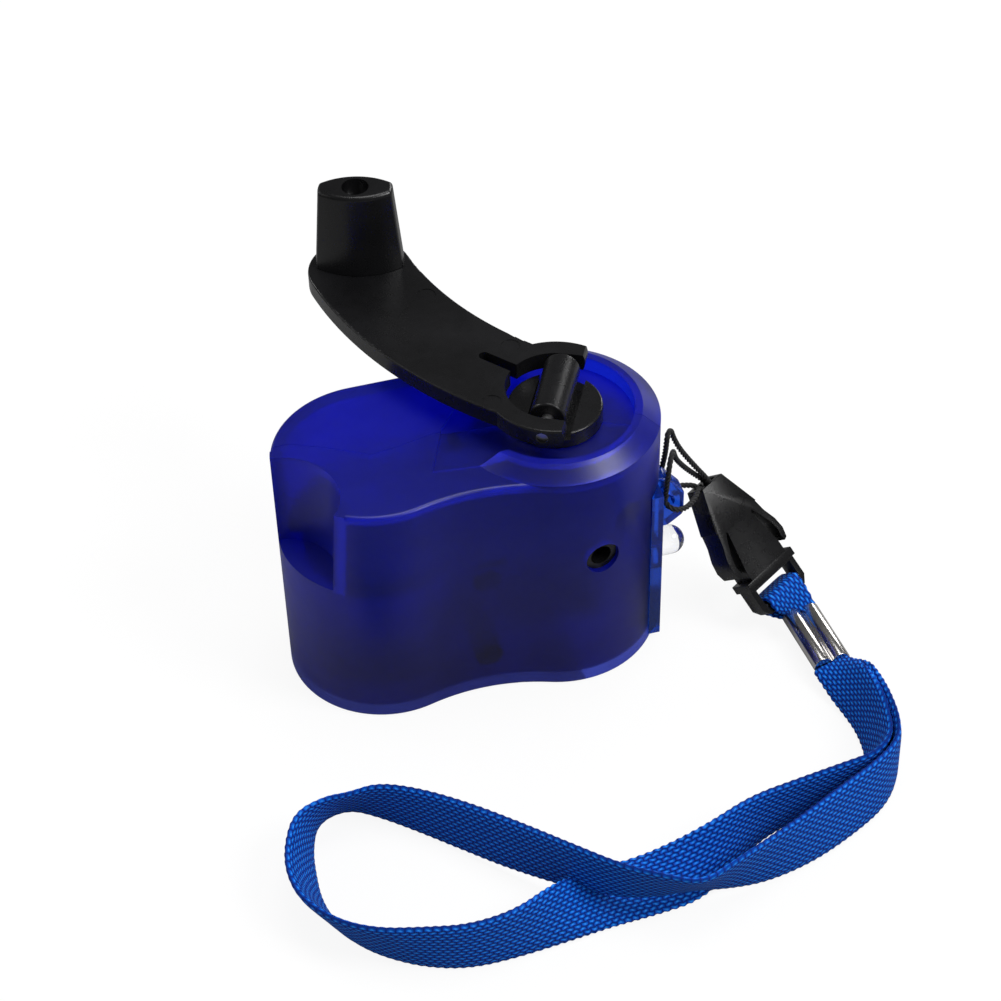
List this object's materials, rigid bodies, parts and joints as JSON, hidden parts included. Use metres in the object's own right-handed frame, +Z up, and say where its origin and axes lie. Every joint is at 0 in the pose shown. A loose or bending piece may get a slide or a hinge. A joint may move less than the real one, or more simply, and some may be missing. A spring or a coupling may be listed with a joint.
{
  "type": "hand crank phone charger",
  "caption": "Two-lobed pocket charger with a fold-over crank arm, a knob pocket, a lamp and sockets at one end, and a wrist strap on a quick-release buckle.",
  "frame": {"origin": "where the crank's axis meets the surface that the charger stands on", "axes": "+Z up along the crank's axis; +X towards the end panel, its lug and lamp; -Y towards the hollow front"},
  "size_m": [0.1001, 0.1192, 0.0669],
  "materials": {
    "smoky_blue_plastic": "translucent deep blue, satin",
    "clear_blue_plastic": "clear tinted, polished",
    "gloss_black_plastic": "polished",
    "lamp_epoxy": "clear, polished",
    "tinned_wire": "bright",
    "port_steel": "bright plated",
    "white_plastic": "plain",
    "board_laminate": "solder mask",
    "capacitor_sleeve": "sleeve",
    "gear_nylon": "moulded",
    "plate_plastic": "moulded",
    "brass": "turned",
    "steel": "ground",
    "copper_winding": "enamelled wire",
    "magnet_ferrite": "sintered",
    "wire_sleeve": "sleeve",
    "nickel": "polished plate",
    "black_cord": "braided",
    "blue_webbing": "woven"
  },
  "bodies": {
    "housing": {"front_shell": "smoky_blue_plastic", "rear_shell": "smoky_blue_plastic", "end_panel": "clear_blue_plastic", "led": "lamp_epoxy", "led_leads": "tinned_wire", "usb_socket": "port_steel", "usb_tongue": "white_plastic", "output_jack": "gloss_black_plastic", "circuit_board": "board_laminate", "rectifier_diodes": "gloss_black_plastic", "smoothing_capacitor": "capacitor_sleeve", "inductor": "magnet_ferrite", "regulator_chip": "gloss_black_plastic", "gear_plate": "plate_plastic", "crank_bush_upper": "brass", "crank_bush_lower": "brass", "idler_axle": "steel", "generator_can": "port_steel", "generator_cover": "plate_plastic", "generator_bushes": "brass", "stator_coil": "copper_winding", "generator_leads": "wire_sleeve", "housing_screws": "steel", "buckle_socket": "gloss_black_plastic", "buckle_plug": "gloss_black_plastic", "lanyard_string_upper": "black_cord", "lanyard_string_lower": "black_cord", "strap_ferrule": "nickel", "strap_stub": "blue_webbing", "wrist_strap": "blue_webbing"},
    "crank": {"crank_hub": "gloss_black_plastic", "crank_shaft": "steel", "crank_gear": "gear_nylon"},
    "arm": {"crank_arm": "gloss_black_plastic", "hinge_pin": "steel", "knob_screw": "steel"},
    "knob": {"crank_knob": "gloss_black_plastic"},
    "idler": {"idler_gear": "gear_nylon"},
    "rotor": {"rotor_pinion": "brass", "rotor_shaft": "steel", "rotor_magnet": "magnet_ferrite"}
  },
  "joints": [
    {"name": "crank_spin", "type": "hinge", "parent": "housing", "child": "crank", "pos_m": [0, 0, 0.045], "axis": [0, 0, 1], "continuous": true},
    {"name": "arm_fold", "type": "hinge", "parent": "crank", "child": "arm", "pos_m": [0, 0, 0.04995], "axis": [0.4571, 0.8894, 0], "range_deg": [0, 180]},
    {"name": "knob_spin", "type": "hinge", "parent": "arm", "child": "knob", "pos_m": [-0.02236, 0.0405, 0.0516], "axis": [0, 0, 1], "continuous": true},
    {"name": "idler_spin", "type": "hinge", "parent": "housing", "child": "idler", "pos_m": [-0.0168, 0, 0.0312], "axis": [0, 0, 1], "continuous": true},
    {"name": "rotor_spin", "type": "hinge", "parent": "housing", "child": "rotor", "pos_m": [-0.0306, 0, 0.0312], "axis": [0, 0, 1], "continuous": true}
  ],
  "couplings": [
    {"joint": "idler_spin", "follows": "crank_spin", "ratio": -4.6},
    {"joint": "rotor_spin", "follows": "crank_spin", "ratio": 16.56}
  ]
}
